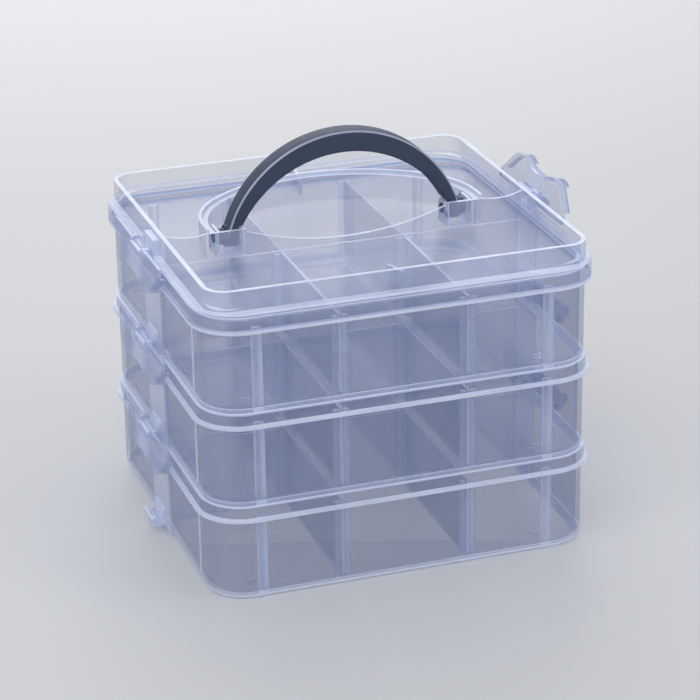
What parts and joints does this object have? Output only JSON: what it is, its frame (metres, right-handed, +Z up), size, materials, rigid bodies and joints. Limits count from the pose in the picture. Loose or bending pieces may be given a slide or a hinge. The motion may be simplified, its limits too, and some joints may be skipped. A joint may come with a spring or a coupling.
{
  "type": "tiered storage box",
  "caption": "Square box of stacking clear trays with removable dividers, latched sides, a recessed lid and a folding arched handle.",
  "frame": {"origin": "centre of the underside of the bottom tray, where the box rests", "axes": "+Z up, +X to the right and +Y to the back, seen from the side that the handle folds away from"},
  "size_m": [0.171, 0.15, 0.1554],
  "materials": {
    "clear_plastic": "clear, slightly milky",
    "slate_plastic": "satin"
  },
  "bodies": {
    "bottom": {"bottom_tray": "clear_plastic", "bottom_divider_front_left": "clear_plastic", "bottom_divider_front_right": "clear_plastic", "bottom_divider_back_left": "clear_plastic", "bottom_divider_back_right": "clear_plastic"},
    "middle": {"middle_tray": "clear_plastic", "middle_divider_front_left": "clear_plastic", "middle_divider_front_right": "clear_plastic", "middle_divider_back_left": "clear_plastic", "middle_divider_back_right": "clear_plastic"},
    "top": {"top_tray": "clear_plastic", "top_divider_front_left": "clear_plastic", "top_divider_front_right": "clear_plastic", "top_divider_back_left": "clear_plastic", "top_divider_back_right": "clear_plastic"},
    "lid_body": {"lid": "clear_plastic"},
    "handle_body": {"handle": "slate_plastic"},
    "middle_latch_left_body": {"middle_latch_left": "clear_plastic"},
    "middle_latch_right_body": {"middle_latch_right": "clear_plastic"},
    "top_latch_left_body": {"top_latch_left": "clear_plastic"},
    "top_latch_right_body": {"top_latch_right": "clear_plastic"},
    "lid_latch_left_body": {"lid_latch_left": "clear_plastic"},
    "lid_latch_right_body": {"lid_latch_right": "clear_plastic"}
  },
  "joints": [
    {"name": "middle_tray_lift", "type": "slide", "parent": "bottom", "child": "middle", "axis": [0, 0, 1], "range_m": [0, 0.06]},
    {"name": "top_tray_lift", "type": "slide", "parent": "middle", "child": "top", "axis": [0, 0, 1], "range_m": [0, 0.06]},
    {"name": "lid_lift", "type": "slide", "parent": "top", "child": "lid_body", "axis": [0, 0, 1], "range_m": [0, 0.06]},
    {"name": "handle_fold", "type": "hinge", "parent": "lid_body", "child": "handle_body", "pos_m": [0, 0, 0.118], "axis": [-1, 0, 0], "range_deg": [0, 88]},
    {"name": "middle_latch_left_swing", "type": "hinge", "parent": "middle", "child": "middle_latch_left_body", "pos_m": [-0.0804, 0, 0.0432], "axis": [0, 1, 0], "range_deg": [-9, 171]},
    {"name": "middle_latch_right_swing", "type": "hinge", "parent": "middle", "child": "middle_latch_right_body", "pos_m": [0.0804, 0, 0.0432], "axis": [0, -1, 0], "range_deg": [-9, 171]},
    {"name": "top_latch_left_swing", "type": "hinge", "parent": "top", "child": "top_latch_left_body", "pos_m": [-0.0804, 0, 0.0806], "axis": [0, 1, 0], "range_deg": [-9, 171]},
    {"name": "top_latch_right_swing", "type": "hinge", "parent": "top", "child": "top_latch_right_body", "pos_m": [0.0804, 0, 0.0806], "axis": [0, -1, 0], "range_deg": [-9, 171]},
    {"name": "lid_latch_left_swing", "type": "hinge", "parent": "lid_body", "child": "lid_latch_left_body", "pos_m": [-0.0804, 0, 0.118], "axis": [0, 1, 0], "range_deg": [-9, 171]},
    {"name": "lid_latch_right_swing", "type": "hinge", "parent": "lid_body", "child": "lid_latch_right_body", "pos_m": [0.0804, 0, 0.118], "axis": [0, -1, 0], "range_deg": [-165, 15]}
  ]
}
